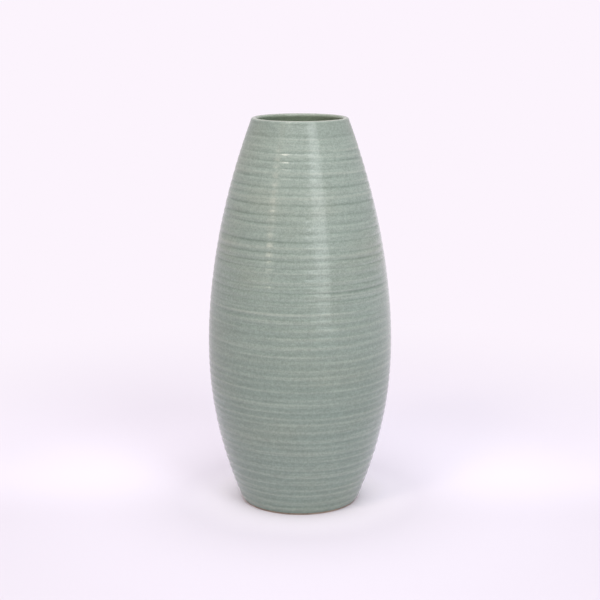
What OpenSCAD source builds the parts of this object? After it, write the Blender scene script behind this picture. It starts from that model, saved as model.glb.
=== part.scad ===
// Stoneware vase, thrown on the wheel, with a celadon coat outside and a liner glaze inside.
// Millimetres, +Z up. The origin is on the vase's axis, in the plane that the foot stands on.
// Every piece is a solid of revolution: one thrown lump of clay and the three coats fused on it.

/* [Outline] */
// Height from the table to the crest of the lip
height = 300; // [260:5:360]
// Diameter where the foot meets the table
foot_d = 90.4; // [80:0.2:105]
// Largest diameter, over the glaze
belly_d = 141.6; // [130:0.2:165]
// Height of the largest diameter
belly_z = 124; // [105:1:150]
// Outer diameter of the mouth, over the glaze
mouth_d = 74.4; // [66:0.2:96]
// Fullness of the curve from the foot to the belly: 2 is a parabola
lower_fullness = 2.03; // [1.6:0.01:2.6]
// Fullness of the curve from the belly to the mouth: 2 is a parabola
upper_fullness = 1.93; // [1.6:0.01:2.6]

/* [Clay wall] */
// Thickness of the rounded lip, with its glaze
lip_t = 4.4; // [3.6:0.2:6]
// Thickness of the wall where it leaves the floor, with both glazes
low_wall_t = 7.6; // [6:0.2:10]
// Height of the floor inside, over its glaze
floor_z = 10; // [8:0.5:14]
// Radius of the sweep between the floor and the wall
corner_r = 16; // [10:1:20]

/* [Throwing rings] */
// Usual distance from one finger ring to the next
ring_pitch = 7; // [5:0.5:10]
// Depth of the rings, crest to groove, measured on the glaze
ring_depth = 0.5; // [0.2:0.1:0.8]
// Height of the plain band under the lip, where the rings die away
plain_band = 14; // [8:1:24]

/* [Trimmed foot] */
// Width of the ring that the vase stands on
foot_ring_w = 7.5; // [5:0.5:12]
// Depth of the hollow turned inside the foot ring
recess_depth = 3; // [1.5:0.5:4.5]
// Bevel on both edges of the foot ring
foot_bevel = 0.6; // [0.3:0.1:1]
// Height of the bare clay line that was wiped clean of glaze
bare_line_h = 1.2; // [1.1:0.1:3]

/* [Glaze coats] */
// Mean thickness of the celadon coat outside
glaze_t = 0.45; // [0.35:0.05:0.7]
// Thickness of the liner glaze inside
liner_t = 0.4; // [0.3:0.05:0.7]
// Thickness of the glaze where it breaks thin over the lip
rim_glaze_t = 0.25; // [0.2:0.05:0.3]
// Height of the thin, pale band of glaze over the lip
rim_band_h = 3.6; // [3.2:0.2:6]

/* [Hidden] */
$fn = 180;

// How finely the outlines are stepped
ring_steps = 6;
corner_steps = 6;
lip_steps = 10;
band_steps = 2;
liner_step_h = 6;

foot_r = foot_d / 2;
belly_r = belly_d / 2;
mouth_r = mouth_d / 2;
lip_r = lip_t / 2;
// The lip is a half round about this circle
lip_centre_r = mouth_r - lip_r;
lip_centre_z = height - lip_r;
// Lower edge of the thin band of glaze, outside and inside
band_z = height - rim_band_h;
// The rings are the sum of two waves, so that they come unevenly, as a hand leaves them
second_ring_pitch = 1.7 * ring_pitch;
second_ring_share = 0.5;
// The clay's rings are deeper than the glaze shows, because the coat fills the grooves
clay_ring_depth = 1.25 * ring_depth;
// The corner sweep ends where it leans like the wall
corner_lean = 18;
corner_top_z = floor_z + corner_r * (1 - sin(corner_lean));

clay_colour = [0.47, 0.37, 0.31];
celadon_colour = [0.53, 0.61, 0.57];
rim_colour = [0.70, 0.72, 0.67];
liner_colour = [0.38, 0.42, 0.35];

// Evenly spaced values from a to b in n steps
function steps(a, b, n) = [for (i = [0 : n]) a + (b - a) * i / n];

// A list in the opposite order
function reversed(list) = [for (i = [len(list) - 1 : -1 : 0]) list[i]];

// Radius of the smooth outline at height z, before the rings
function outline_r(z) =
    z < belly_z
    ? belly_r - (belly_r - foot_r) * pow((belly_z - z) / belly_z, lower_fullness)
    : belly_r - (belly_r - mouth_r) * pow((z - belly_z) / (lip_centre_z - belly_z), upper_fullness);

// 0 at the lip, and 1 from the bottom of the plain band down
function below_band(z) = max(0, min(1, (lip_centre_z - z) / plain_band));

// The rings' wave at height z, from -1 to 1
function ring_wave(z) =
    (sin(360 * z / ring_pitch) + second_ring_share * sin(360 * z / second_ring_pitch))
    / (1 + second_ring_share);

// Offset of a ringed surface of the given depth at height z
function ring_offset(z, depth) = depth / 2 * ring_wave(z) * below_band(z);

// Thickness of each coat, which thins towards the lip
function coat_t(z) = rim_glaze_t + (glaze_t - rim_glaze_t) * below_band(z);
function liner_coat_t(z) = rim_glaze_t + (liner_t - rim_glaze_t) * below_band(z);

// Whole thickness of the wall, which thins evenly from the floor to the lip
function wall_t(z) = lip_t + (low_wall_t - lip_t) * (lip_centre_z - z) / lip_centre_z;

// The four surfaces of the wall, from the outside in
function glaze_r(z) = outline_r(z) + ring_offset(z, ring_depth);
function clay_outer_r(z) = outline_r(z) - coat_t(z) + ring_offset(z, clay_ring_depth);
function clay_inner_r(z) = outline_r(z) - wall_t(z) + liner_coat_t(z);
function liner_r(z) = outline_r(z) - wall_t(z);

// Points of the lip's half round, from the outside in, at radius r about its centre
function lip_arc(r) = [
    for (a = steps(0, 180, lip_steps)) [lip_centre_r + r * cos(a), lip_centre_z + r * sin(a)]
];

// Points of the sweep from the wall down to the floor, for a coat that is t thick behind the surface
function corner_arc(t) = [
    for (a = steps(-corner_lean, -90, corner_steps))
        [
            liner_r(corner_top_z) - corner_r * cos(corner_lean) + (corner_r + t) * cos(a),
            floor_z + corner_r + (corner_r + t) * sin(a)
        ]
];

// Heights at which each stretch of wall is stepped
ring_count = ceil((band_z - bare_line_h) / ring_pitch);
outer_zs = steps(bare_line_h, band_z, ring_count * ring_steps);
outer_band_zs = steps(band_z, lip_centre_z, band_steps);
inner_zs = steps(band_z, corner_top_z + corner_r / 4, ceil((band_z - corner_top_z) / liner_step_h));

// Shared boundaries, so that neighbours meet face to face
clay_outside = [for (z = outer_zs) [clay_outer_r(z), z]];
clay_inside = concat([for (z = inner_zs) [clay_inner_r(z), z]], corner_arc(liner_t));
liner_surface = concat([for (z = inner_zs) [liner_r(z), z]], corner_arc(0));
clay_band = concat(
    [for (z = outer_band_zs) [clay_outer_r(z), z]],
    lip_arc(lip_r - rim_glaze_t),
    [for (z = reversed(outer_band_zs)) [clay_inner_r(z), z]]
);
rim_surface = concat(
    [for (z = outer_band_zs) [glaze_r(z), z]],
    lip_arc(lip_r),
    [for (z = reversed(outer_band_zs)) [liner_r(z), z]]
);

// The foot, from the axis out: turned hollow, flat ring and bare line
bare_foot_r = clay_outer_r(bare_line_h);
ring_inner_r = foot_r - foot_ring_w;
foot_outline = [
    [0, recess_depth],
    [ring_inner_r - recess_depth, recess_depth],
    [ring_inner_r, foot_bevel],
    [ring_inner_r + foot_bevel, 0],
    [bare_foot_r - foot_bevel, 0],
    [bare_foot_r - foot_bevel / 4, foot_bevel]
];

// Thrown clay: wall, floor and trimmed foot in one piece
module stoneware_body() {
    inside_floor = [[0, floor_z - liner_t]];
    color(clay_colour)
        rotate_extrude()
            polygon(concat(foot_outline, clay_outside, clay_band, clay_inside, inside_floor));
}

// Celadon coat from the wiped foot line up to the band at the lip, with a rounded lower edge
module outer_glaze() {
    edge_in = [bare_foot_r + glaze_t / 2, bare_line_h + glaze_t / 8];
    upper_zs = [for (z = outer_zs) if (z > bare_line_h + glaze_t) z];
    color(celadon_colour)
        rotate_extrude()
            polygon(concat([edge_in], [for (z = upper_zs) [glaze_r(z), z]], reversed(clay_outside)));
}

// Thin band of glaze that runs over the lip and a little way down both sides
module rim_glaze() {
    color(rim_colour)
        rotate_extrude()
            polygon(concat(rim_surface, reversed(clay_band)));
}

// Liner glaze, poured in and out again: the whole inside below the band
module liner_glaze() {
    floor_edge = [[0, floor_z], [0, floor_z - liner_t]];
    color(liner_colour)
        rotate_extrude()
            polygon(concat(liner_surface, floor_edge, reversed(clay_inside)));
}

stoneware_body();
outer_glaze();
rim_glaze();
liner_glaze();
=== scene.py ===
# %% [markdown]
# # A thrown stoneware vase in a celadon glaze
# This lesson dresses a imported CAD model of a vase. The CAD holds four pieces: the thrown clay, the
# celadon coat outside, the thin band of glaze over the lip, and the liner glaze inside. Here each of
# them gets a finer mesh, with the throwing rings that a potter's fingers leave, and a glaze or clay
# made only from nodes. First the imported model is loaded, and its size is kept for later.

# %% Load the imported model
import math

import bpy
import numpy as np
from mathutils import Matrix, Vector


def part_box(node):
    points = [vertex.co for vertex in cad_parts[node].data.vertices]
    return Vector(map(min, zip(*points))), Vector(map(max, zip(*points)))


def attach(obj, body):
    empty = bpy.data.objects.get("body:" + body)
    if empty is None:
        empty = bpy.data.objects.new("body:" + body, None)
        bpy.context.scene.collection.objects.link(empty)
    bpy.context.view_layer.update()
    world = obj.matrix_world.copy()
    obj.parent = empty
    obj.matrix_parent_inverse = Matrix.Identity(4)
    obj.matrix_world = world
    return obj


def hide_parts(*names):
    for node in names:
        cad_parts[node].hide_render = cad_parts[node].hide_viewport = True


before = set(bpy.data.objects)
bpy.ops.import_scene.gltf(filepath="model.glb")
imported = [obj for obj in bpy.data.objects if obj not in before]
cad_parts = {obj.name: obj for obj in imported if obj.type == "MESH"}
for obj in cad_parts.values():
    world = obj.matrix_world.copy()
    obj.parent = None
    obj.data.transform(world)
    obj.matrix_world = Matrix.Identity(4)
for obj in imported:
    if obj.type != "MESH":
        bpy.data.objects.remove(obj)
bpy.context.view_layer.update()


MM = 0.001
print("CAD nodes:", sorted(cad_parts))

# %% [markdown]
# ## The outline, read back from the CAD
# A thrown pot is a surface of revolution, so one outline says nearly everything about its form. It
# could be typed in again, but then it could drift away from the CAD. So the radius is read from the
# CAD's own points, height by height, and a smooth curve is fitted through them. The fit leaves out
# the CAD's plain rings, because livelier ones are laid on the smooth curve further down.

# %% Fit the outer and inner walls

hair = 0.01
corner_start_z = 26.0


def vectors(items, field, count):
    """The same field of many vertices or triangles, as rows of numbers."""
    values = np.empty(len(items) * count, np.int32 if field == "vertices" else np.float32)
    items.foreach_get(field, values)
    return values.reshape(-1, count)


def cross_section(node):
    """Radius and height, in millimetres, of every point of a CAD node."""
    points = vectors(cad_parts[node].data.vertices, "co", 3).astype(float) / MM
    return np.hypot(points[:, 0], points[:, 1]), points[:, 2]


def wall_curve(node, pick, lowest, highest, degree):
    """Radius over height. pick is max for a node's outer face and min for its inner one."""
    radii, heights = cross_section(node)
    levels = heights.round(2)
    steps = [level for level in np.unique(levels) if lowest <= level <= highest]
    edge = [pick(radii[levels == level]) for level in steps]
    return np.polynomial.Chebyshev.fit(steps, edge, degree)


glaze_foot_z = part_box("outer_glaze")[0].z / MM
band_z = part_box("rim_glaze")[0].z / MM
top_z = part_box("rim_glaze")[1].z / MM
outer_wall = wall_curve("outer_glaze", max, glaze_foot_z + 1, band_z, degree=9)
inner_wall = wall_curve("liner_glaze", min, corner_start_z - 2, band_z, degree=7)

rim_radii, rim_heights = cross_section("rim_glaze")
band_radii = rim_radii[rim_heights < band_z + hair]
lip_r = (band_radii.max() - band_radii.min()) / 2
lip_centre_r = rim_radii[rim_heights > top_z - hair].mean()
lip_centre_z = top_z - lip_r
print("outer radius at the foot, belly and lip:", [round(outer_wall(z), 2) for z in (2, 124, band_z)])
print("inner radius at the same heights:", [round(inner_wall(z), 2) for z in (30, 124, band_z)])

# %% [markdown]
# ## Lines of evenly spaced points
# The visible surface is first drawn as a line, from the foot up the outside, over the lip and down
# the inside. Two small tools handle such lines. One spaces the points evenly. The other softens the
# corners where parts of the line join, by averaging each point with its neighbours, as a wet sponge
# does on the wheel.

# %% Tools for lines

line_step = 0.1


def evenly(points, step):
    """The same line with its points one step apart."""
    points = np.asarray(points, float)
    lengths = np.concatenate([[0], np.cumsum(np.hypot(*np.diff(points, axis=0).T))])
    stations = np.linspace(0, lengths[-1], int(lengths[-1] / step) + 1)
    return np.stack([np.interp(stations, lengths, points[:, axis]) for axis in (0, 1)], 1)


def softened(points, width, step=line_step):
    """The line averaged over about this width. The ends stay where they are."""
    points = evenly(points, step)
    reach = int(4 * width / step)
    weights = np.exp(-0.5 * (np.arange(-reach, reach + 1) * step / width) ** 2)
    weights = weights / weights.sum()
    before = 2 * points[0] - points[reach:0:-1]
    after = 2 * points[-1] - points[-2:-reach - 2:-1]
    padded = np.concatenate([before, points, after])
    smooth = [np.convolve(padded[:, axis], weights, mode="valid") for axis in (0, 1)]
    return evenly(np.stack(smooth, 1), step)


def arc(centre_r, centre_z, radius, start, end, count=24):
    """Points along an arc, with angles from the horizontal."""
    angles = np.linspace(start, end, count)
    return [(centre_r + radius * math.cos(a), centre_z + radius * math.sin(a)) for a in angles]


# %% [markdown]
# ## One line over the whole wall
# The line runs up the outside, round the lip, down the inside, and in across the floor to the middle.
# Every piece is cut from this one line by its stations, the distances along it, so that each meets
# its neighbour exactly. Drawing each piece by itself could leave hairline gaps at the seams.

# %% Join the parts of the line

liner_t = 0.4
floor_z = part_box("liner_glaze")[0].z / MM + liner_t
corner_r = 16.0
corner_lean = math.radians(19)
corner_setback = 1.2
line_softness = 0.6

up_outside = [(outer_wall(z), z) for z in np.linspace(glaze_foot_z, lip_centre_z, 600)]
over_lip = arc(lip_centre_r, lip_centre_z, lip_r, 0, math.pi)
down_inside = [(inner_wall(z), z) for z in np.linspace(lip_centre_z, corner_start_z, 500)]
corner_centre_r = inner_wall(corner_start_z) - corner_r * math.cos(corner_lean) - corner_setback
into_floor = arc(corner_centre_r, floor_z + corner_r, corner_r, -corner_lean, -math.pi / 2)
whole_wall = up_outside + over_lip + down_inside + into_floor + [(0.0, floor_z)]
line = softened(whole_wall, line_softness)
line_r, line_z = line.T
station = np.arange(len(line)) * line_step

slope = np.gradient(line, axis=0)
slope = slope / np.linalg.norm(slope, axis=1)[:, None]
normal_r, normal_z = slope[:, 1], -slope[:, 0]

crest = int(line_z.argmax())
band_outside = np.interp(band_z, line_z[:crest], station[:crest])
band_inside = np.interp(-band_z, -line_z[crest:], station[crest:])
print("length of the line, millimetres:", round(station[-1], 1))
print("the lip's band runs from", round(band_outside, 1), "to", round(band_inside, 1))

# %% [markdown]
# ## Throwing rings
# A potter pulls the wall up between two hands, and the fingertip leaves a ring at each turn. Above
# the belly of this vase they are soft ribs with a narrow groove between them. Below it they turn
# over into shallow hollows with a soft ridge between. Finer lines from the skin of the finger run
# over both. A sine wave would look turned by a machine, so each ring has its own height, depth and
# waver, and fades in and out as it goes round. A fixed seed makes the same vase every time.

# %% Draw the rings' heights and characters

rng = np.random.default_rng(11)
full_turn = 2 * math.pi
rib_pitch = 6.2
fine_pitch = 2.1


def random_waves(size, counts, fall):
    """Waves round the vase: size, count in a turn and shift. Higher counts are smaller."""
    waves = []
    for count in counts:
        height = size * rng.normal() / count ** fall
        waves.append((height, count, rng.uniform(0, full_turn)))
    return waves


def ring_marks(lowest, highest, pitch, uneven, depth, width, waver, spread=0.3):
    """One dictionary for each ring, a pitch apart or so, with its own depth, width and waver."""
    marks = []
    height = lowest
    while height < highest:
        marks.append({
            "height": height,
            "depth": depth * rng.uniform(1 - spread, 1 + spread),
            "width": width * rng.uniform(0.8, 1.25),
            "fade": random_waves(1.0, (1, 2, 3, 5), 0.5),
            "wander": random_waves(waver, (1, 2, 3, 4), 1),
        })
        height += pitch * (1 + uneven * rng.uniform(-1, 1))
    return marks


grooves = ring_marks(
    128, top_z - 9, rib_pitch, uneven=0.26, depth=0.1, width=1.5, waver=0.12, spread=0.3
)
ridges = ring_marks(
    5, 190, rib_pitch, uneven=0.26, depth=0.085, width=1.8, waver=0.12, spread=0.35
)
fine_lines = ring_marks(
    4, top_z - 4, fine_pitch, uneven=0.6, depth=0.04, width=0.55, waver=0.2
)
print(len(grooves), "grooves,", len(ridges), "ridges and", len(fine_lines), "fine lines")

# %% [markdown]
# ## The shape of each ring
# A ring's depth falls off on both sides of its own height. The fall is a little pointed, so that a
# groove looks pressed by a fingertip and a ridge looks pushed up between two. The lines slope a
# little as they go round, because the hand rises while the wheel turns.

# %% Tools for rings

ring_slope = 0.5


def smoothstep(value, low, high):
    """0 below low, 1 above high, and an even S-curve between. It also runs from high to low."""
    share = np.clip((value - low) / (high - low), 0, 1)
    return share * share * (3 - 2 * share)


def around(waves, turn):
    """A smooth value that changes with the turn round the vase and closes on itself."""
    return sum(size * np.cos(count * turn + shift) for size, count, shift in waves)


def ring_field(marks, height, turn, sharper=1.0, swing=0.2):
    """The sum of all marks at each height and turn, each one fading in and out round the vase."""
    total = np.zeros((len(height), turn.shape[1]))
    for mark in marks:
        near = abs(height[:, 0] - mark["height"]) < ring_slope + 1.5 + 4 * mark["width"]
        strength = np.clip(0.9 + swing * around(mark["fade"], turn), 0, 1.4)
        middle = mark["height"] + around(mark["wander"], turn) - ring_slope * np.sin(turn)
        distance = abs(height[near] - middle) * sharper / mark["width"]
        total[near] += mark["depth"] * strength * np.exp(-distance ** 1.5)
    return total


def broad_ribs(marks, height, turn):
    """A soft wave with its hollows at the marks, from -1 to 1."""
    middles = [mark["height"] for mark in marks]
    phase = np.interp(height + ring_slope * np.sin(turn), middles, np.arange(len(middles)))
    return -np.cos(full_turn * phase)


# %% [markdown]
# ## The relief of the whole wall
# The rings are added up to one relief, in millimetres. Grooves rule above the belly and ridges below
# it, with a slow change between, where both are calmer and the fine lines are stronger. A second sum
# says how pale the glaze is, because it pools dark in a groove and runs thin over a ridge. Towards
# the lip the relief fades before the colour does: the last rings there are smoothed by a damp cloth,
# and only the glaze still shows them.

# %% Add the rings up

belly_z = 152.0
change_over = 14.0
belly_reach = 24
belly_calm = 0.3
belly_fineness = 0.7
rib_height = 0.045
hollow_depth = 0.06
crease_share = 0.7

# How strongly each kind of mark shows in the colour of the glaze
ridge_tone, rib_tone, hollow_tone, fine_tone = 2.8, 4, 4.5, 13
groove_tone, crease_tone, belly_tone = 2.3, 3.0, 0.18


def outer_relief(height, turn):
    """Height of the rings over the smooth outline, and how pale the glaze is there."""
    upper = smoothstep(height, belly_z - change_over, belly_z + change_over)
    lower = 1 - smoothstep(height, belly_z, belly_z + 2.5 * change_over)
    belly = np.exp(-(((height - belly_z) / belly_reach) ** 2))
    calm = 1 - belly_calm * belly
    relief_near_lip = smoothstep(height, top_z - 3, top_z - 30)
    colour_near_lip = smoothstep(height, top_z - 3, top_z - 16)
    near_foot = smoothstep(height, 1.5, 6) * (1 + 0.6 * (1 - smoothstep(height, 35, 75)))

    cut = upper * ring_field(grooves, height, turn)
    crease = upper * ring_field(grooves, height, turn, sharper=2.0)
    ribs = rib_height * upper * broad_ribs(grooves, height, turn)
    raised = lower * ring_field(ridges, height, turn)
    hollows = -hollow_depth * lower * broad_ribs(ridges, height, turn)
    fine = ring_field(fine_lines, height, turn, swing=0.5) * (1 + belly_fineness * belly)

    relief = raised + ribs + hollows + fine - cut - crease_share * crease
    paleness = ridge_tone * raised + fine_tone * fine - groove_tone * cut - crease_tone * crease
    paleness = paleness + rib_tone * ribs + hollow_tone * hollows - belly_tone * belly
    return relief * relief_near_lip * near_foot * calm, paleness * colour_near_lip * near_foot * calm


def inner_relief(height, turn):
    """Softer finger rings inside, which die away towards the lip."""
    phase = full_turn * (height / 9.0) + 0.8 * np.sin(height / 23.0) - turn
    return 0.18 * np.sin(phase) * smoothstep(height, top_z - 8, top_z - 40)


sample = outer_relief(np.linspace(5, top_z - 30, 500)[:, None], np.zeros((1, 1)))[0]
print("relief of the wall from", sample.min().round(2), "to", sample.max().round(2), "millimetres")

# %% [markdown]
# ## A point anywhere on the glazed surface
# Every piece asks one function for its points, with a station along the line and a turn round the
# vase. The relief is laid on along the line's own normal. The same function gives the true normals
# of the surface, which are stored where two pieces meet, so that no seam shows between them.

# %% The shared surface


def surface(stations, turns, below=0.0):
    """Points in metres, one row for each station, this many millimetres below the surface."""
    s = np.asarray(stations, float)[:, None]
    turn = np.asarray(turns, float)[None, :]
    r = np.interp(s, station, line_r)
    z = np.interp(s, station, line_z)
    n_r = np.interp(s, station, normal_r)
    n_z = np.interp(s, station, normal_z)
    if np.ndim(below) or below:
        lift = -np.broadcast_to(np.asarray(below, float).reshape(-1, 1), (len(s), turn.size))
        paleness = np.zeros_like(lift)
    else:
        outside = s < station[crest]
        lift, paleness = outer_relief(z, turn)
        lift = np.where(outside, lift, inner_relief(z, turn))
        paleness = np.where(outside, paleness, 0)
    radius = r + lift * n_r
    height = z + lift * n_z
    points = np.stack([radius * np.sin(turn), -radius * np.cos(turn), height + 0 * turn], -1)
    return points * MM, paleness


def surface_normals(at, turns):
    """The surface's own normals along one station."""
    nudge = 0.15
    nudge_turn = 0.002
    low, high = surface([at - nudge, at + nudge], turns)[0]
    left = surface([at], turns - nudge_turn)[0][0]
    right = surface([at], turns + nudge_turn)[0][0]
    normals = np.cross(right - left, high - low)
    return normals / np.linalg.norm(normals, axis=1)[:, None]


print("front of the lip's crest, metres:", surface([station[crest]], [0.0])[0][0, 0].round(4))

# %% [markdown]
# ## From rows of points to a closed solid
# Each piece is a real solid with a front and a back, not a sheet. Its points come in rows that go
# round the vase, and neighbouring rows are joined by four-sided faces. A row of one point is a pole,
# where the faces close to a fan of triangles.

# %% Build a mesh from rows


def joined(first, second, first_start, second_start):
    """Faces between two neighbouring rows. Either one may be a pole, and two poles need no face."""
    count = max(len(first), len(second))
    if count == 1:
        return []
    here = np.arange(count)
    after = (here + 1) % count
    if len(first) == 1:
        return [(first_start, second_start + b, second_start + a) for a, b in zip(here, after)]
    if len(second) == 1:
        return [(first_start + a, first_start + b, second_start) for a, b in zip(here, after)]
    corners = (first_start + here, first_start + after, second_start + after, second_start + here)
    return np.stack(corners, 1).tolist()


def solid(name, rows, ring_closed):
    """A smooth mesh object from rows of points. ring_closed joins the last row to the first."""
    starts = np.concatenate([[0], np.cumsum([len(row) for row in rows])]).astype(int)
    pairs = [(k, k + 1) for k in range(len(rows) - 1)]
    if ring_closed:
        pairs.append((len(rows) - 1, 0))
    faces = []
    for a, b in pairs:
        faces.extend(joined(rows[a], rows[b], int(starts[a]), int(starts[b])))
    mesh = bpy.data.meshes.new(name)
    mesh.from_pydata(np.concatenate(rows).tolist(), [], faces)
    mesh.shade_smooth()
    piece = bpy.data.objects.new(name, mesh)
    bpy.context.scene.collection.objects.link(piece)
    return piece, starts


# %% [markdown]
# ## Finish a mesh
# The volume tells whether the faces look outward: it is negative when they don't. It could be judged
# by eye, but a number can't be overlooked. Two more tools keep data on the points: the true normals
# at the seams, and single numbers, such as the paleness, that a material reads later.

# %% Tools for a finished mesh


def volume(piece):
    """Volume in cubic centimetres. It is negative when the faces look inward."""
    mesh = piece.data
    mesh.calc_loop_triangles()
    corners = vectors(mesh.loop_triangles, "vertices", 3)
    points = vectors(mesh.vertices, "co", 3).astype(float)
    a, b, c = (points[corners[:, k]] for k in range(3))
    return float(np.einsum("ij,ij->", a, np.cross(b, c)) / 6 * 1e6)


def face_outward(piece):
    """Turns the faces over if they look inward, and reports the piece."""
    if volume(piece) < 0:
        piece.data.flip_normals()
    triangles = len(piece.data.loop_triangles)
    print(piece.name, "has", triangles, "triangles and", round(volume(piece), 1), "cubic centimetres")


def keep_normals(piece, given):
    """Stores smooth normals, with the given ones where two pieces meet: {first vertex: normals}."""
    mesh = piece.data
    normals = vectors(mesh.vertices, "normal", 3)
    for start, own in given.items():
        normals[start:start + len(own)] = own
    mesh.normals_split_custom_set_from_vertices(normals.tolist())


def store(piece, name, start, values):
    """Keeps one number for each vertex from start on, and 0 for the others."""
    numbers = np.zeros(len(piece.data.vertices), np.float32)
    numbers[start:start + values.size] = values.ravel()
    attribute = piece.data.attributes.new(name, "FLOAT", "POINT")
    attribute.data.foreach_set("value", numbers)


# %% [markdown]
# ## The celadon coat
# The coat is a thin shell on the outside, from the wiped line at the foot to the band at the lip. A
# plain lathed shape would do for a distant view, but the rings have to catch the light from every
# side, so they are real geometry: a row about every half millimetre. The lower edge is rolled under,
# as melted glaze draws back from bare clay. The back of the shell needs few rows.

# %% Make the outer glaze

around_count = 160
turns = np.linspace(0, full_turn, around_count, endpoint=False)
row_step = 0.56
foot_glaze_t = 0.45
lip_glaze_t = 0.25
deepest = 0.85
roll_start = 0.5
depth_marks = [
    (0, foot_glaze_t),
    (4, 0.5),
    (14, deepest),
    (band_outside - 14, deepest),
    (band_outside, lip_glaze_t),
    (band_inside, lip_glaze_t),
    (band_inside + 20, 0.6),
    (station[-1], liner_t),
]


def coat_depth(stations):
    """How far the clay lies under the smooth outline, in millimetres, along the line."""
    marks, depths = zip(*depth_marks)
    return np.interp(stations, marks, depths)


rolled = []
for angle in np.linspace(0.15, 1.0, num=4) * math.pi / 2:
    sink = foot_glaze_t * (1 - math.cos(angle))
    drop = roll_start * math.sin(angle)
    rolled.append(surface([roll_start - drop], turns, below=sink)[0][0])
front = np.linspace(roll_start, band_outside, int(band_outside / row_step))
front_points, front_paleness = surface(front, turns)
back = np.linspace(band_outside, hair * 2, num=60)
back_points = surface(back, turns, below=coat_depth(back))[0]

coat_rows = rolled[::-1] + list(front_points) + list(back_points)
celadon_coat, starts = solid("celadon_coat", coat_rows, ring_closed=True)
face_outward(celadon_coat)
last_front = int(starts[len(rolled) + len(front) - 1])
keep_normals(celadon_coat, {last_front: surface_normals(band_outside, turns)})
store(celadon_coat, "paleness", int(starts[len(rolled)]), front_paleness)

# %% [markdown]
# ## The glaze over the lip
# Melted glaze runs off a sharp edge, so it stays thin on the lip and the pale clay shines through.
# It is a piece of its own here: a small saddle that covers the round of the lip and a few
# millimetres on both sides. Rows come closer together than on the wall, because the lip is round.

# %% Make the lip glaze

saddle = np.linspace(band_outside, band_inside, num=34)
saddle_points, saddle_paleness = surface(saddle, turns)
under = np.linspace(band_inside, band_outside, num=20)
under_points = surface(under, turns, below=coat_depth(under))[0]
lip_glaze, starts = solid("lip_glaze", list(saddle_points) + list(under_points), ring_closed=True)
face_outward(lip_glaze)
keep_normals(lip_glaze, {
    0: surface_normals(band_outside, turns),
    int(starts[len(saddle) - 1]): surface_normals(band_inside, turns),
})
store(lip_glaze, "paleness", 0, saddle_paleness)
inner_share = smoothstep(saddle, station[crest] - 0.5, band_inside)
store(lip_glaze, "inward", 0, np.repeat(inner_share, around_count))

# %% [markdown]
# ## The liner glaze
# The potter fills the vase with glaze and pours it out again, so the whole inside is coated, down
# to the floor. The finger rings show through it softly. The coat closes to a pole in the middle of
# the floor, on its front and on its back.

# %% Make the liner glaze

last_ring = station[-1] - 1.5
inside = np.linspace(band_inside, last_ring, num=300)
inside_points = surface(inside, turns)[0]
behind = np.linspace(last_ring, band_inside, num=70)
behind_points = surface(behind, turns, below=coat_depth(behind))[0]
floor_pole = np.array([[0, 0, floor_z * MM]])
under_pole = np.array([[0, 0, (floor_z - liner_t) * MM]])
liner_rows = list(inside_points) + [floor_pole, under_pole] + list(behind_points)
liner_coat, starts = solid("liner_coat", liner_rows, ring_closed=True)
face_outward(liner_coat)
keep_normals(liner_coat, {0: surface_normals(band_inside, turns)})

# %% [markdown]
# ## The foot
# Only the foot of the clay shows: the wiped line, the flat ring that the vase stands on, and the
# shallow hollow that was turned out of the underside when the clay was leather-hard. Its measures
# are read from the CAD, and its edges are softened a little, as they are after sponging. The turning
# tool left a fine spiral in the hollow, which is real geometry too.

# %% Draw the foot

clay_gap = 0.02
bevel = 0.6
foot_softness = 0.22
foot_row_every = 4
clay_radii, clay_heights = cross_section("stoneware_body")
standing = clay_radii[clay_heights < hair]
foot_inner_r = standing.min()
foot_outer_r = standing.max()
hollow = (clay_radii < foot_inner_r) & (clay_heights < floor_z / 2)
hollow_z = clay_heights[hollow].max()
hollow_r = clay_radii[hollow & (clay_heights > hollow_z - hair)].max()
print("foot ring from", foot_inner_r.round(1), "to", foot_outer_r.round(1), "hollow", hollow_z.round(1))

clay_start = surface([0.0], [0.0], below=foot_glaze_t + clay_gap)[0][0, 0] / MM
clay_start_r = math.hypot(clay_start[0], clay_start[1])
foot_line = [
    (0.0, hollow_z),
    (hollow_r, hollow_z),
    (foot_inner_r - bevel, bevel),
    (foot_inner_r, 0.0),
    (foot_outer_r, 0.0),
    (clay_start_r - 0.1, 0.5),
    (clay_start_r, clay_start[2]),
]
foot_profile = softened(foot_line, foot_softness)[::foot_row_every]
if foot_profile[-1][1] < clay_start[2] - hair:
    foot_profile = np.vstack([foot_profile, foot_line[-1]])


def turned(profile, turn):
    """Rows of points for the foot, with the spiral that the turning tool left in the hollow."""
    rows = []
    for r, z in profile:
        in_hollow = smoothstep(z, hollow_z - 0.5, hollow_z - 0.05) * smoothstep(r, 1, 4)
        groove = 0.05 * np.sin(full_turn * r / 1.6 - turn) + 0.03 * np.sin(full_turn * r / 4.7 + 1)
        height = z + in_hollow * groove
        rows.append(np.stack([r * np.sin(turn), -r * np.cos(turn), height + 0 * turn], -1) * MM)
    return rows


# %% [markdown]
# ## The clay
# Under the glazes is one thrown piece of stoneware, so it is one mesh: from the middle of the
# underside over the foot, up behind the celadon, over the lip, and down behind the liner to the
# floor. Its hidden walls follow the backs of the glazes with a hair's breadth between, because two
# surfaces in the same place would flicker.

# %% Make the clay body

clay_back = np.linspace(0, last_ring, num=190)
clay_rows = list(surface(clay_back, turns, below=coat_depth(clay_back) + clay_gap)[0])
foot_rows = turned(foot_profile[2:], turns)
bottom_pole = np.array([[0, 0, hollow_z * MM]])
inner_pole = np.array([[0, 0, (floor_z - liner_t - clay_gap) * MM]])
body_rows = [bottom_pole] + foot_rows + clay_rows[1:] + [inner_pole]
clay_body, starts = solid("clay_body", body_rows, ring_closed=False)
face_outward(clay_body)

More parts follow.
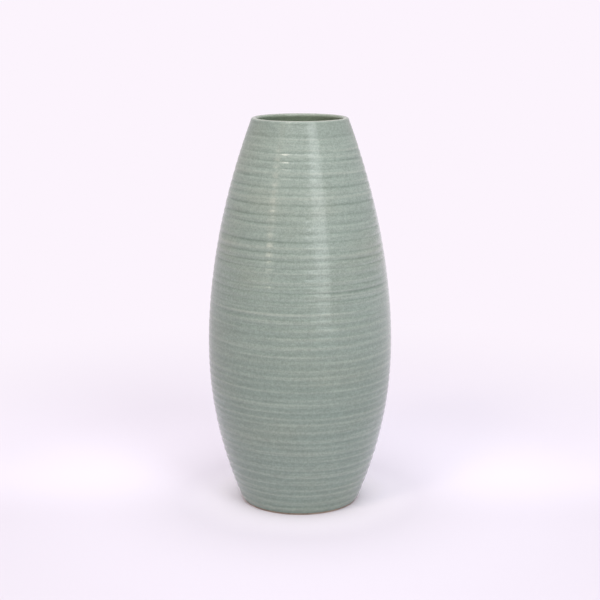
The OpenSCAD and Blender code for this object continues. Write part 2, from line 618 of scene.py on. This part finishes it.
# %% [markdown]
# ## Small helpers for materials
# A material is a network of small steps. These helpers make a step, set what is given and join it
# to the ones before, so that each finish further down can be read as a recipe. Patterns use the
# object's own coordinates in metres, so a blob of half a millimetre stays that size everywhere, and
# it runs on without a break from one piece to the next.

# %% Node helpers


def colour(red, green, blue):
    """A colour given as it looks on a screen, from 0 to 255, as the linear values that nodes use."""
    shares = [value / 255 for value in (red, green, blue)]
    linear = [s / 12.92 if s <= 0.04045 else ((s + 0.055) / 1.055) ** 2.4 for s in shares]
    return (*linear, 1.0)


class Recipe:
    """A node material that is built up step by step."""

    def __init__(self, name):
        self.material = bpy.data.materials.new(name)
        self.material.use_nodes = True
        self.tree = self.material.node_tree
        self.shader = self.tree.nodes["Principled BSDF"]
        self.place = self.step("ShaderNodeTexCoord").outputs["Object"]

    def step(self, kind, **settings):
        """A new node with these settings."""
        made = self.tree.nodes.new(kind)
        for key, value in settings.items():
            setattr(made, key, value)
        return made

    def join(self, source, target):
        """Links an output to an input, or sets the input if the source is a plain value."""
        if isinstance(source, bpy.types.NodeSocket):
            self.tree.links.new(source, target)
        else:
            target.default_value = source

    def noise(self, blob_mm, detail=2.0, rough=0.5, stretch=None):
        """Cloudy noise from 0 to 1 whose blobs are about this many millimetres across."""
        texture = self.step("ShaderNodeTexNoise")
        texture.inputs["Scale"].default_value = 0.6 / (blob_mm * MM)
        texture.inputs["Detail"].default_value = detail
        texture.inputs["Roughness"].default_value = rough
        place = self.place
        if stretch:
            mapping = self.step("ShaderNodeMapping")
            mapping.inputs["Scale"].default_value = stretch
            self.join(place, mapping.inputs["Vector"])
            place = mapping.outputs[0]
        self.join(place, texture.inputs["Vector"])
        return texture.outputs[0]

    def attribute(self, name):
        """A number that was stored on the mesh."""
        return self.step("ShaderNodeAttribute", attribute_name=name).outputs["Fac"]

    def height(self):
        """Height above the table, in metres."""
        parts = self.step("ShaderNodeSeparateXYZ")
        self.join(self.place, parts.inputs[0])
        return parts.outputs["Z"]

    def ramp(self, value, low, high, to_low=0.0, to_high=1.0):
        """The value carried from one range to another with a soft start and end, and held there."""
        made = self.step("ShaderNodeMapRange", clamp=True, interpolation_type="SMOOTHSTEP")
        self.join(value, made.inputs["Value"])
        ends = {"From Min": low, "From Max": high, "To Min": to_low, "To Max": to_high}
        for key, number in ends.items():
            made.inputs[key].default_value = number
        return made.outputs[0]

    def maths(self, operation, first, second):
        """One sum on two values."""
        made = self.step("ShaderNodeMath", operation=operation)
        self.join(first, made.inputs[0])
        self.join(second, made.inputs[1])
        return made.outputs[0]

    def blend(self, share, first, second, how="MIX"):
        """Two colours mixed by a share from 0 to 1."""
        made = self.step("ShaderNodeMix", data_type="RGBA", blend_type=how, clamp_factor=True)
        self.join(share, made.inputs[0])
        self.join(first, made.inputs[6])
        self.join(second, made.inputs[7])
        return made.outputs[2]

    def brighten(self, base, amount):
        """A colour multiplied by a number, such as 1.05 for a little paler."""
        grey = self.step("ShaderNodeCombineColor")
        for channel in range(3):
            self.join(amount, grey.inputs[channel])
        return self.blend(1.0, base, grey.outputs[0], "MULTIPLY")

    def bump(self, value, depth_mm, under=None):
        """Small bumps from a value from 0 to 1, this many millimetres from low to high."""
        made = self.step("ShaderNodeBump")
        made.inputs["Strength"].default_value = 1.0
        made.inputs["Distance"].default_value = depth_mm * MM
        self.join(value, made.inputs["Height"])
        if under is not None:
            self.join(under, made.inputs["Normal"])
        return made.outputs[0]

    def set(self, **inputs):
        """Sets or links the main shader's inputs. Underscores stand for spaces in their names."""
        for key, value in inputs.items():
            self.join(value, self.shader.inputs[key.replace("_", " ")])

    def report(self):
        """Says how large the recipe has grown."""
        print(self.material.name, "has", len(self.tree.nodes), "nodes")


# %% [markdown]
# ## How a glaze gets its colour
# A glaze deepens where it pools in a groove, and pales where it runs thin over a ridge and the clay
# shows through: that is why the rings are drawn in colour as well as in light. It also lies thicker
# low on the wall, because it runs while it melts. On the outer glaze the colour is also painted darker
# low on the wall and lighter towards the top, as painted light from above, with a band of painted
# shade just under the lip. Up close it is mottled with spots about a millimetre wide, from the grit in
# the clay and from bubbles. The outer glaze and the liner share this one recipe, with noises of four
# sizes over the ring relief that is stored on the mesh.

# %% Layer a glaze's colour

glaze_ior = 1.5


def mottled(glaze, tones, below=None, above=None):
    """A glaze's colour, and its mottle. tones are deep, main, pale and warm."""
    deep, main, pale, warm = tones
    ring = glaze.attribute("paleness")
    cloud = glaze.noise(34, detail=2, rough=0.5, stretch=(1, 1, 1.6))
    streak = glaze.noise(1.3, detail=2, rough=0.5, stretch=(0.12, 0.12, 1.0))
    mottle = glaze.noise(1.2, detail=2, rough=0.5, stretch=(0.75, 0.75, 1.0))
    speckle = glaze.noise(0.6, detail=1, rough=0.5)
    base = glaze.blend(glaze.ramp(ring, 0.0, -1.2), main, deep)
    base = glaze.blend(glaze.ramp(ring, 0.0, 1.3), base, pale)
    warmth = glaze.maths("MULTIPLY", glaze.ramp(cloud, 0.45, 0.75), 0.22)
    base = glaze.blend(warmth, base, warm)
    if below:
        # Painted light: darker low on the wall and lighter towards the top, partly thicker glaze below
        # and partly painted light from above; the band just under the lip is darkened as painted shade.
        run_and_light = glaze.blend(glaze.ramp(glaze.height(), 90 * MM, 230 * MM), below, above)
        run_and_light = glaze.brighten(run_and_light, glaze.ramp(glaze.height(), 283 * MM, 291 * MM, 1.0, 0.92))
        base = glaze.blend(1.0, base, run_and_light, "MULTIPLY")
    base = glaze.brighten(base, glaze.ramp(streak, 0.3, 0.7, 0.965, 1.035))
    base = glaze.brighten(base, glaze.ramp(mottle, 0.3, 0.7, 0.94, 1.06))
    base = glaze.brighten(base, glaze.ramp(speckle, 0.3, 0.7, 0.92, 1.08))
    return base, mottle


# %% [markdown]
# ## The celadon glaze
# Celadon is a clear glaze with a trace of iron, which turns grey-green in a smoky kiln. Its gloss is
# never a perfect mirror. Three faint bumps lie on each other: a soft peel like that of an orange,
# the mottle itself, and fine finger lines that run round the wall and break up each reflection. At
# the foot the thin edge of the glaze takes on the colour of the clay.

# %% Mix the celadon

celadon_tones = (
    colour(113, 129, 120),
    colour(142, 156, 148),
    colour(160, 171, 162),
    colour(149, 154, 140),
)
foot_edge_tone = colour(128, 122, 108)
# Painted light: these tints darken the low wall and lighten the top, partly for thicker glaze below and
# partly as painted light from above.
thick_and_shaded_below = (0.908, 0.936, 0.896, 1)
thin_and_lit_above = (1.205, 1.17, 1.15, 1)

celadon = Recipe("celadon_glaze")
celadon_base, celadon_mottle = mottled(celadon, celadon_tones, thick_and_shaded_below, thin_and_lit_above)
foot_share = celadon.ramp(celadon.height(), 2.1 * MM, 1.2 * MM)
celadon_base = celadon.blend(foot_share, celadon_base, foot_edge_tone)
peel = celadon.noise(3.0, detail=1, rough=0.5)
skin = celadon.bump(peel, depth_mm=0.012)
skin = celadon.bump(celadon_mottle, depth_mm=0.002, under=skin)
finger_lines = celadon.noise(0.8, detail=1, rough=0.5, stretch=(0.04, 0.04, 1.0))
skin = celadon.bump(finger_lines, depth_mm=0.08, under=skin)
celadon.set(
    Base_Color=celadon_base,
    Roughness=celadon.ramp(celadon_mottle, 0.3, 0.75, 0.12, 0.19),
    Normal=skin,
    IOR=glaze_ior,
)
celadon.report()

# %% [markdown]
# ## The liner glaze
# The inside had the same glaze poured round in it, but it lies thicker and the fire reached it less,
# so it came out more olive. The inside of a vase is lit only through its mouth, so a glaze that looks
# dark there is fairly pale by itself. Just under the lip it ran thin, and its colour is washed out.

# %% Mix the liner glaze

liner_tones = (
    colour(140, 154, 133),
    colour(158, 173, 152),
    colour(170, 181, 162),
    colour(162, 167, 142),
)
washed_out = colour(160, 161, 146)


def pale_towards_lip(glaze, base):
    """The liner's colour, washed out where the glaze ran thin just under the lip."""
    share = glaze.ramp(glaze.height(), (top_z - 4.0) * MM, (top_z - 0.5) * MM, 0.0, 0.3)
    return glaze.blend(share, base, washed_out)


liner = Recipe("liner_glaze")
liner_base, liner_mottle = mottled(liner, liner_tones)
liner.set(
    Base_Color=pale_towards_lip(liner, liner_base),
    Roughness=liner.ramp(liner_mottle, 0.3, 0.75, 0.12, 0.24),
    Normal=liner.bump(liner_mottle, depth_mm=0.003),
    IOR=glaze_ior,
)
liner.report()

# %% [markdown]
# ## The lip's glaze
# Over the lip the two glazes meet and run into each other, and both are thin there. So this finish
# mixes the outer recipe and the liner's by how far a point lies on the inner side, and pales at the
# very crest, partly where the clay shines through and partly as a painted sheen of the bright light
# above.

# %% Mix the lip glaze

crest_clay_and_sheen = colour(178, 178, 166)
lip = Recipe("lip_glaze")
lip_outer, lip_mottle = mottled(lip, celadon_tones, thick_and_shaded_below, thin_and_lit_above)
lip_inner = pale_towards_lip(lip, mottled(lip, liner_tones)[0])
lip_base = lip.blend(lip.attribute("inward"), lip_outer, lip_inner)
# Painted reflection: the pale crest is partly thin glaze over clay and partly a painted sheen of the
# light above.
at_crest_sheen = lip.ramp(lip.height(), (top_z - 0.9) * MM, (top_z - 0.2) * MM, 0.0, 0.4)
lip.set(
    Base_Color=lip.blend(at_crest_sheen, lip_base, crest_clay_and_sheen),
    Roughness=lip.ramp(lip_mottle, 0.3, 0.75, 0.1, 0.16),
    Normal=lip.bump(lip_mottle, depth_mm=0.002),
    IOR=glaze_ior,
)
lip.report()

# %% [markdown]
# ## The bare clay
# Stoneware fires to a warm grey-brown. Without glaze it is matt and gritty, with dark iron spots and
# pale grains. The colour comes from a soft cloud with fine grains on top, and the grit is raised
# with a bump of a few hundredths of a millimetre.

# %% Mix the clay

clay_dark, clay_pale = colour(160, 142, 126), colour(180, 163, 147)
iron_spot = colour(92, 72, 58)
clay = Recipe("stoneware_clay")
grain = clay.noise(0.5, detail=3, rough=0.7)
toast = clay.noise(11, detail=3, rough=0.55)
spots = clay.noise(1.1, detail=0, rough=0.5)
clay_base = clay.blend(clay.ramp(toast, 0.35, 0.65), clay_dark, clay_pale)
clay_base = clay.brighten(clay_base, clay.ramp(grain, 0.3, 0.7, 0.86, 1.12))
clay_base = clay.blend(clay.ramp(spots, 0.68, 0.76), clay_base, iron_spot)
clay.set(
    Base_Color=clay_base,
    Roughness=clay.ramp(grain, 0.3, 0.7, 0.78, 0.93),
    Normal=clay.bump(grain, depth_mm=0.05),
)
clay.report()

# %% [markdown]
# ## Hand the pieces over
# Each mesh gets its material, which carries the finish's name, and rides on the CAD's only body.
# The CAD node whose place it takes is hidden.

# %% Join pieces, finishes and CAD nodes

lineup = [
    (clay_body, clay, "stoneware_body", "stoneware_clay"),
    (celadon_coat, celadon, "outer_glaze", "celadon_glaze"),
    (lip_glaze, lip, "rim_glaze", "lip_glaze"),
    (liner_coat, liner, "liner_glaze", "liner_glaze"),
]
for piece, recipe, node, finish in lineup:
    piece.data.materials.append(recipe.material)
    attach(piece, "root")
    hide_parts(node)
    print(piece.name, "stands for", node, "with the finish", finish)

# %% [markdown]
# ## The camera
# The vase is seen from the front and a little above, from just over a metre away, with a long lens
# that keeps its sides nearly parallel.

# %% Place the camera

camera_distance = 1.090
camera_height = 0.393
camera_tilt = 12.12
camera = bpy.data.objects.new("camera", bpy.data.cameras.new("camera"))
bpy.context.scene.collection.objects.link(camera)
bpy.context.scene.camera = camera
camera.data.sensor_width = 36
camera.data.lens = 86.4
camera.data.dof.use_dof = False
camera.location = (0, -camera_distance, camera_height)
camera.rotation_euler = (math.radians(90 - camera_tilt), 0, 0)
print("camera", [round(value, 3) for value in camera.location], "lens", round(camera.data.lens, 1))

# %% [markdown]
# ## The floor
# A pale paper sweep has no visible far edge. Here it is one large round floor, a single flat face.
# A curved sheet would look right from the front only, and this one does from any side.

# %% Lay the floor

floor_radius = 6.0
floor_turns = np.linspace(0, full_turn, num=96, endpoint=False)
edge_points = [(floor_radius * math.cos(a), floor_radius * math.sin(a), 0) for a in floor_turns]
floor_mesh = bpy.data.meshes.new("paper_sweep")
floor_mesh.from_pydata(edge_points, [], [list(range(len(edge_points)))])
sweep = bpy.data.objects.new("paper_sweep", floor_mesh)
bpy.context.scene.collection.objects.link(sweep)
print("floor of", 2 * floor_radius, "metres across")

# %% [markdown]
# ## The paper
# Near the vase the floor is matt paper that takes shadows. Its colour is painted lighter just round the
# foot and behind the vase, and darker further out and in front, as painted light and shade that softens
# the shadows beside the foot. Further out it fades to a plain glow of the backdrop's own colour, so
# that floor and backdrop run into each other. The glow that lights the vase from below is set apart
# from the one that is seen, and it is stronger on the right, where the large lamp stands.

# %% Mix the paper

backdrop = colour(252, 244, 253)
paper_lit_near = colour(251, 246, 255)
paper_shaded_far = colour(230, 225, 235)
front_bounce = 0.8
back_bounce = 0.85
right_bounce = 0.22

sheet = Recipe("sweep_paper")
place = sheet.step("ShaderNodeSeparateXYZ")
sheet.join(sheet.place, place.inputs[0])
far = sheet.step("ShaderNodeVectorMath", operation="LENGTH")
sheet.join(sheet.place, far.inputs[0])
away = far.outputs["Value"]
fibre = sheet.noise(1.5, detail=2)
# Painted light and shade: the paper is lighter round the foot and behind the vase, and darker further
# out and in front.
paper = sheet.blend(sheet.ramp(away, 0.05, 0.1), paper_lit_near, paper_shaded_far)
paper = sheet.brighten(paper, sheet.ramp(place.outputs["Y"], -0.06, 0.06, 0.98, 1.11))
paper = sheet.brighten(paper, sheet.ramp(away, 0.14, 0.3, 1.0, 0.92))
paper = sheet.brighten(paper, sheet.ramp(fibre, 0.3, 0.7, 0.995, 1.0))
matt = sheet.step("ShaderNodeBsdfDiffuse")
sheet.join(paper, matt.inputs["Color"])

glow = sheet.step("ShaderNodeEmission")
sheet.join(backdrop, glow.inputs["Color"])
bounce = sheet.step("ShaderNodeEmission")
sheet.join(backdrop, bounce.inputs["Color"])
bounce_level = sheet.ramp(place.outputs["Y"], -0.3, 0.3, front_bounce, back_bounce)
right_side = sheet.ramp(place.outputs["X"], 0.06, 0.4, 0.0, right_bounce)
sheet.join(sheet.maths("ADD", bounce_level, right_side), bounce.inputs["Strength"])


def mixed(share, first, second):
    """Two of the paper's shaders mixed by a share from 0 to 1."""
    made = sheet.step("ShaderNodeMixShader")
    sheet.join(share, made.inputs[0])
    sheet.join(first.outputs[0], made.inputs[1])
    sheet.join(second.outputs[0], made.inputs[2])
    return made


is_seen = sheet.step("ShaderNodeLightPath").outputs["Is Camera Ray"]
distant = mixed(is_seen, bounce, glow)
whole_floor = mixed(sheet.ramp(away, 0.16, 0.62), matt, distant)
sheet.join(whole_floor.outputs[0], sheet.tree.nodes["Material Output"].inputs["Surface"])
sweep.data.materials.append(sheet.material)
sheet.report()

# %% [markdown]
# ## The room
# The room is white behind and above the vase, and dim beside it and on the camera's side, so that the
# lamps alone draw the reflections on its front. The camera sees the plain backdrop instead. A room of
# real walls would give the same light and take longer to render.

# %% Paint the room

world = bpy.data.worlds.new("white_room")
bpy.context.scene.world = world
world.use_nodes = True
room = world.node_tree
seen = room.nodes["Background"]
seen.inputs["Color"].default_value = backdrop
lit = room.nodes.new("ShaderNodeBackground")
lit.inputs["Color"].default_value = (1.0, 0.96, 1.0, 1)
where = room.nodes.new("ShaderNodeTexCoord")


def light_sum(operation, first, second):
    """One sum on two light levels, each an output or a plain number."""
    made = room.nodes.new("ShaderNodeMath")
    made.operation = operation
    for value, target in zip((first, second), made.inputs):
        if isinstance(value, bpy.types.NodeSocket):
            room.links.new(value, target)
        else:
            target.default_value = value
    return made.outputs[0]


def white_wall(direction, level, power):
    """Light from one side of the room, strongest straight along the direction."""
    facing = room.nodes.new("ShaderNodeVectorMath")
    facing.operation = "DOT_PRODUCT"
    facing.inputs[1].default_value = direction
    room.links.new(where.outputs["Generated"], facing.inputs[0])
    ahead = light_sum("MAXIMUM", facing.outputs["Value"], 0)
    return light_sum("MULTIPLY", light_sum("POWER", ahead, power), level)


behind_wall = white_wall((0, 1, 0), level=0.75, power=1)
ceiling = white_wall((0, 0, 1), level=1.4, power=3)
right_wall = white_wall((1, 0, 0), level=0.12, power=2)
left_wall = white_wall((-1, 0, 0), level=0.06, power=2)
main_walls = light_sum("ADD", behind_wall, ceiling)
side_walls = light_sum("ADD", right_wall, left_wall)
room.links.new(light_sum("ADD", main_walls, side_walls), lit.inputs["Strength"])
is_camera = room.nodes.new("ShaderNodeLightPath")
choose = room.nodes.new("ShaderNodeMixShader")
room.links.new(is_camera.outputs["Is Camera Ray"], choose.inputs[0])
room.links.new(lit.outputs[0], choose.inputs[1])
room.links.new(seen.outputs[0], choose.inputs[2])
room.links.new(choose.outputs[0], room.nodes["World Output"].inputs["Surface"])
print("the room has", len(room.nodes), "nodes")

# %% [markdown]
# ## The lamps
# A tall soft box on the right gives the wide cool band down the front. A thin flat one beside it adds
# the short bright dashes in it. A narrow warm strip on the left, with two small warm lamps, gives the
# column of sparkles where the rings catch it. A large soft box overhead fills the shoulder and the
# lip. All six are area lights, which the camera itself doesn't see.

# %% Set up the lamps

lamp_distance = 1.6
lamp_aim = Vector((0, 0, 0.16))
cool = (0.95, 0.99, 1.0)
warm = (1.0, 0.84, 0.7)
soft_warm = (1.0, 0.88, 0.76)
white = (1.0, 0.99, 1.0)


def soft_box(name, azimuth, elevation, width, height, watts, tint):
    """A rectangular lamp that looks at the middle of the vase. Azimuth 0 is the camera's side."""
    lamp = bpy.data.lights.new(name, "AREA")
    lamp.shape = "RECTANGLE"
    lamp.size = width
    lamp.size_y = height
    lamp.energy = watts
    lamp.color = tint
    stand = bpy.data.objects.new(name, lamp)
    bpy.context.scene.collection.objects.link(stand)
    turn, rise = math.radians(azimuth), math.radians(elevation)
    ahead = -math.cos(turn) * math.cos(rise)
    outward = Vector((math.sin(turn) * math.cos(rise), ahead, math.sin(rise)))
    stand.location = lamp_aim + outward * lamp_distance
    stand.rotation_euler = (-outward).to_track_quat("-Z", "Y").to_euler()
    stand.visible_camera = False
    print(name, "gives", watts, "watts")


soft_box("soft_box_right", 29.5, 24, width=0.53, height=1.45, watts=6.4, tint=cool)
soft_box("soft_box_thin", 13, 15, width=0.39, height=0.08, watts=0.7, tint=cool)
soft_box("warm_strip_left", -43, 24, width=0.2, height=1.2, watts=0.85, tint=warm)
soft_box("warm_lamp_left", -43, 19, width=0.22, height=0.16, watts=0.6, tint=warm)
soft_box("warm_lamp_high", -33, 46, width=0.3, height=0.28, watts=2.6, tint=soft_warm)
soft_box("soft_box_above", 0, 65, width=1.5, height=1.5, watts=13.2, tint=white)
bpy.context.scene.view_settings.view_transform = "Standard"
